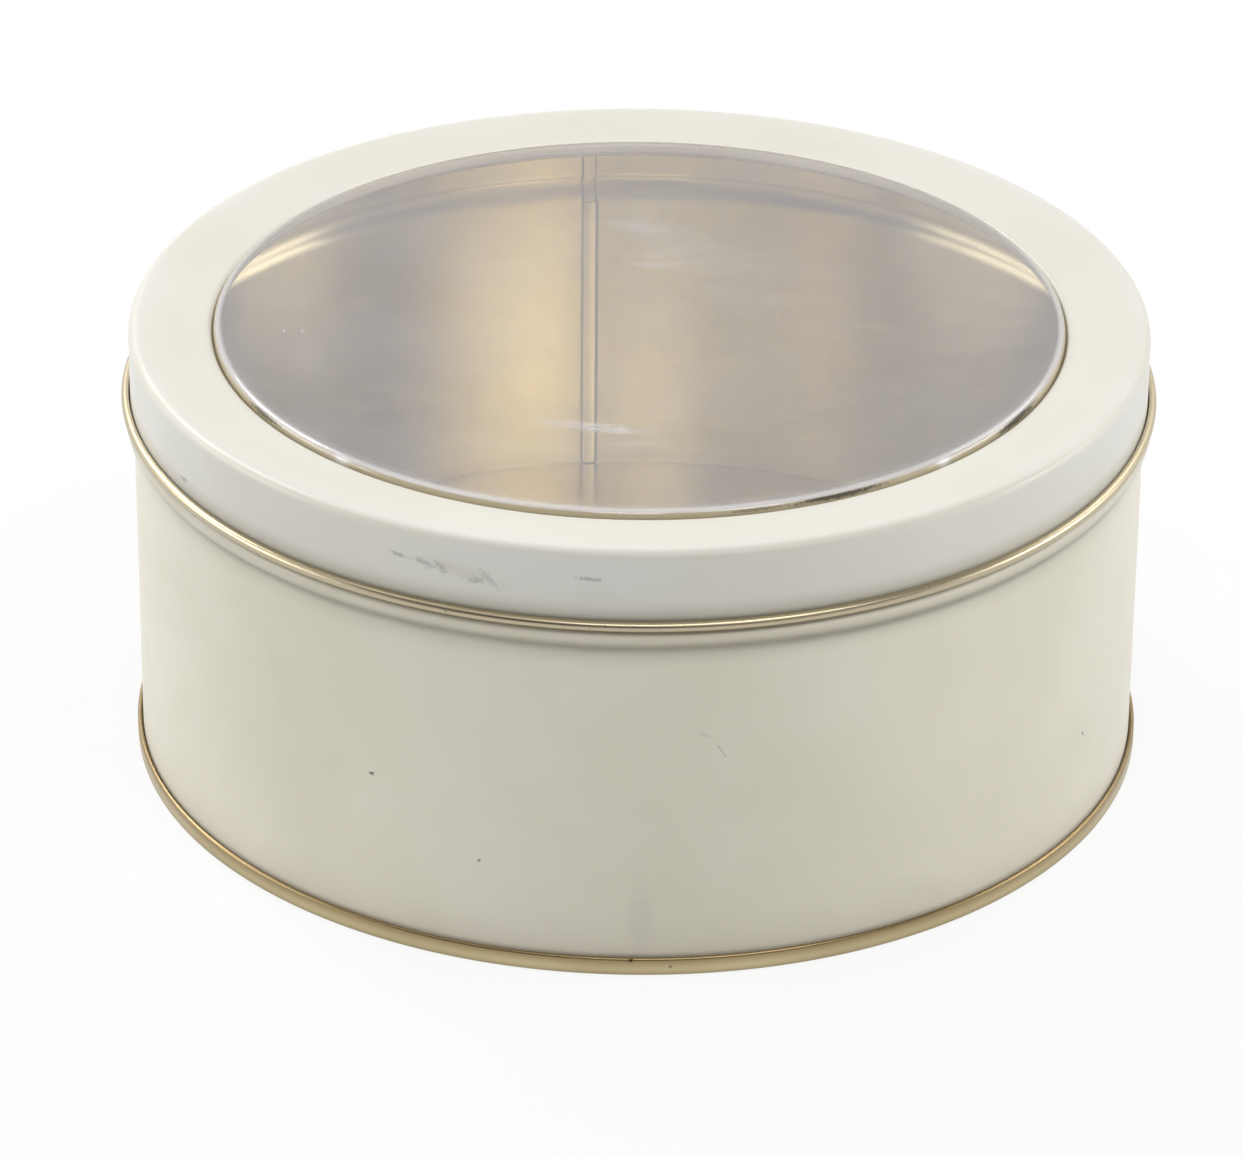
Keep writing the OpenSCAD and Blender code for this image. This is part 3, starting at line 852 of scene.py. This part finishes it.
# The floor and the dark cards, in millimetres
FLOOR_OUT = 4000
CARD_OUT = 2200
CARD_TOP = 2000
SIDE_CARD_FOOT = 750
SIDE_CARD_BACK = 900

# The lamps, in metres
LIT_POINT = Vector((0, 0, 0.05))
LAMP_DISTANCE = 1.6
# Soft boxes as (name, degrees right of the front, degrees up, (width, height), watts)
SOFT_BOXES = [
    ("left_box", -96, 22, (0.8, 0.5), 7.4),
    ("left_strip_box", -74, 18, (0.18, 0.4), 1.6),
    ("right_box", 97, 22, (0.8, 0.5), 9.1),
    ("back_left_box", -140, 40, (0.6, 0.5), 11.6),
    ("back_right_box", 140, 40, (0.6, 0.5), 4.4),
    ("left_top_box", -90, 62, (0.6, 0.5), 2.0),
    ("front_left_top_box", -40, 58, (0.3, 0.5), 0.6),
    ("front_top_box", -4, 58, (0.4, 0.5), 4.5),
    ("front_right_top_box", 40, 58, (0.5, 0.5), 6.6),
    ("front_right_box", 30, 26, (0.7, 0.5), 0.8),
]

scene = bpy.context.scene
scene.view_settings.view_transform = "Standard"

camera_data = bpy.data.cameras.new("camera")
camera_data.lens = LENS
camera_data.sensor_width = SENSOR
camera = bpy.data.objects.new("camera", camera_data)
turned = Matrix((RIGHT, UP, RIGHT.cross(UP))).transposed()
camera.matrix_world = Matrix.Translation(CAMERA_AT) @ turned.to_4x4()
scene.collection.objects.link(camera)
scene.camera = camera


def seen_directly(tree):
    """1 for rays that look at the background, straight or in gloss or through the pane."""
    path = add(tree, "ShaderNodeLightPath").node.outputs
    seen = add(tree, "ShaderNodeMath", [path["Is Camera Ray"], path["Is Glossy Ray"]],
               operation="MAXIMUM")
    return add(tree, "ShaderNodeMath", [seen, path["Is Transmission Ray"]], operation="MAXIMUM")


world = bpy.data.worlds.new("studio")
world.use_nodes = True
world.node_tree.nodes.clear()
strength = add(world.node_tree, "ShaderNodeMapRange",
               [seen_directly(world.node_tree), 0.0, 1.0, ROOM_LIGHT, 1.0])
sky = add(world.node_tree, "ShaderNodeBackground", [(1, 1, 1, 1), strength])
add(world.node_tree, "ShaderNodeOutputWorld", {"Surface": sky})
scene.world = world

# White sweep: seen directly it is nearly white by itself and keeps the tin's soft shadow
sweep = bpy.data.materials.new("white_paper_sweep")
sweep.use_nodes = True
sweep.node_tree.nodes.clear()
matt = add(sweep.node_tree, "ShaderNodeBsdfDiffuse", [linear("#f0f0f0")])
glow = add(sweep.node_tree, "ShaderNodeEmission", [(1, 1, 1, 1), 1.0])
share = add(sweep.node_tree, "ShaderNodeMath", [seen_directly(sweep.node_tree), 0.85],
            operation="MULTIPLY")
mixed = add(sweep.node_tree, "ShaderNodeMixShader", [share, matt, glow])
add(sweep.node_tree, "ShaderNodeOutputMaterial", {"Surface": mixed})


def level_corners(out, up):
    """Corners of a level square that reaches out to each side."""
    return [(-out, -out, up), (out, -out, up), (out, out, up), (-out, out, up)]


def upright_corners(start, end, low, high):
    """Corners of an upright rectangle between two places in plan."""
    return [(*start, low), (*end, low), (*end, high), (*start, high)]


floor = new_object("floor", level_corners(FLOOR_OUT, 0), faces=[(0, 1, 2, 3)])
floor.data.materials.append(sweep)

# Dark cards stand for the studio's unlit front, sides and ceiling, which the polished metal mirrors
flag, _, _ = new_finish("black_flag_cloth", Base_Color=linear("#303030"), Roughness=0.9)
left_front, left_back = (-CARD_OUT, -CARD_OUT), (-CARD_OUT, SIDE_CARD_BACK)
right_front, right_back = (CARD_OUT, -CARD_OUT), (CARD_OUT, SIDE_CARD_BACK)
for name, corners in (
        ("front_card", upright_corners(left_front, right_front, 0, CARD_TOP)),
        ("left_card", upright_corners(left_front, left_back, SIDE_CARD_FOOT, CARD_TOP)),
        ("right_card", upright_corners(right_front, right_back, SIDE_CARD_FOOT, CARD_TOP)),
        ("ceiling_card", level_corners(CARD_OUT, CARD_TOP))):
    card = new_object(name, corners, faces=[(0, 1, 2, 3)])
    card.data.materials.append(flag)
    card.visible_camera = False


def soft_box(name, turn, rise, size, power):
    """A rectangular soft box that lights the tin from turn degrees right of the front and rise degrees
    up, and is not itself in the picture."""
    data = bpy.data.lights.new(name, "AREA")
    data.shape = "RECTANGLE"
    data.size, data.size_y = size
    data.energy = power
    made = bpy.data.objects.new(name, data)
    out = Vector((math.cos(rise) * math.sin(turn), -math.cos(rise) * math.cos(turn), math.sin(rise)))
    turned = out.to_track_quat("Z", "Y").to_matrix().to_4x4()
    made.matrix_world = Matrix.Translation(LIT_POINT + LAMP_DISTANCE * out) @ turned
    made.visible_camera = False
    scene.collection.objects.link(made)


for name, turn, rise, size, power in SOFT_BOXES:
    soft_box(name, math.radians(turn), math.radians(rise), size, power)
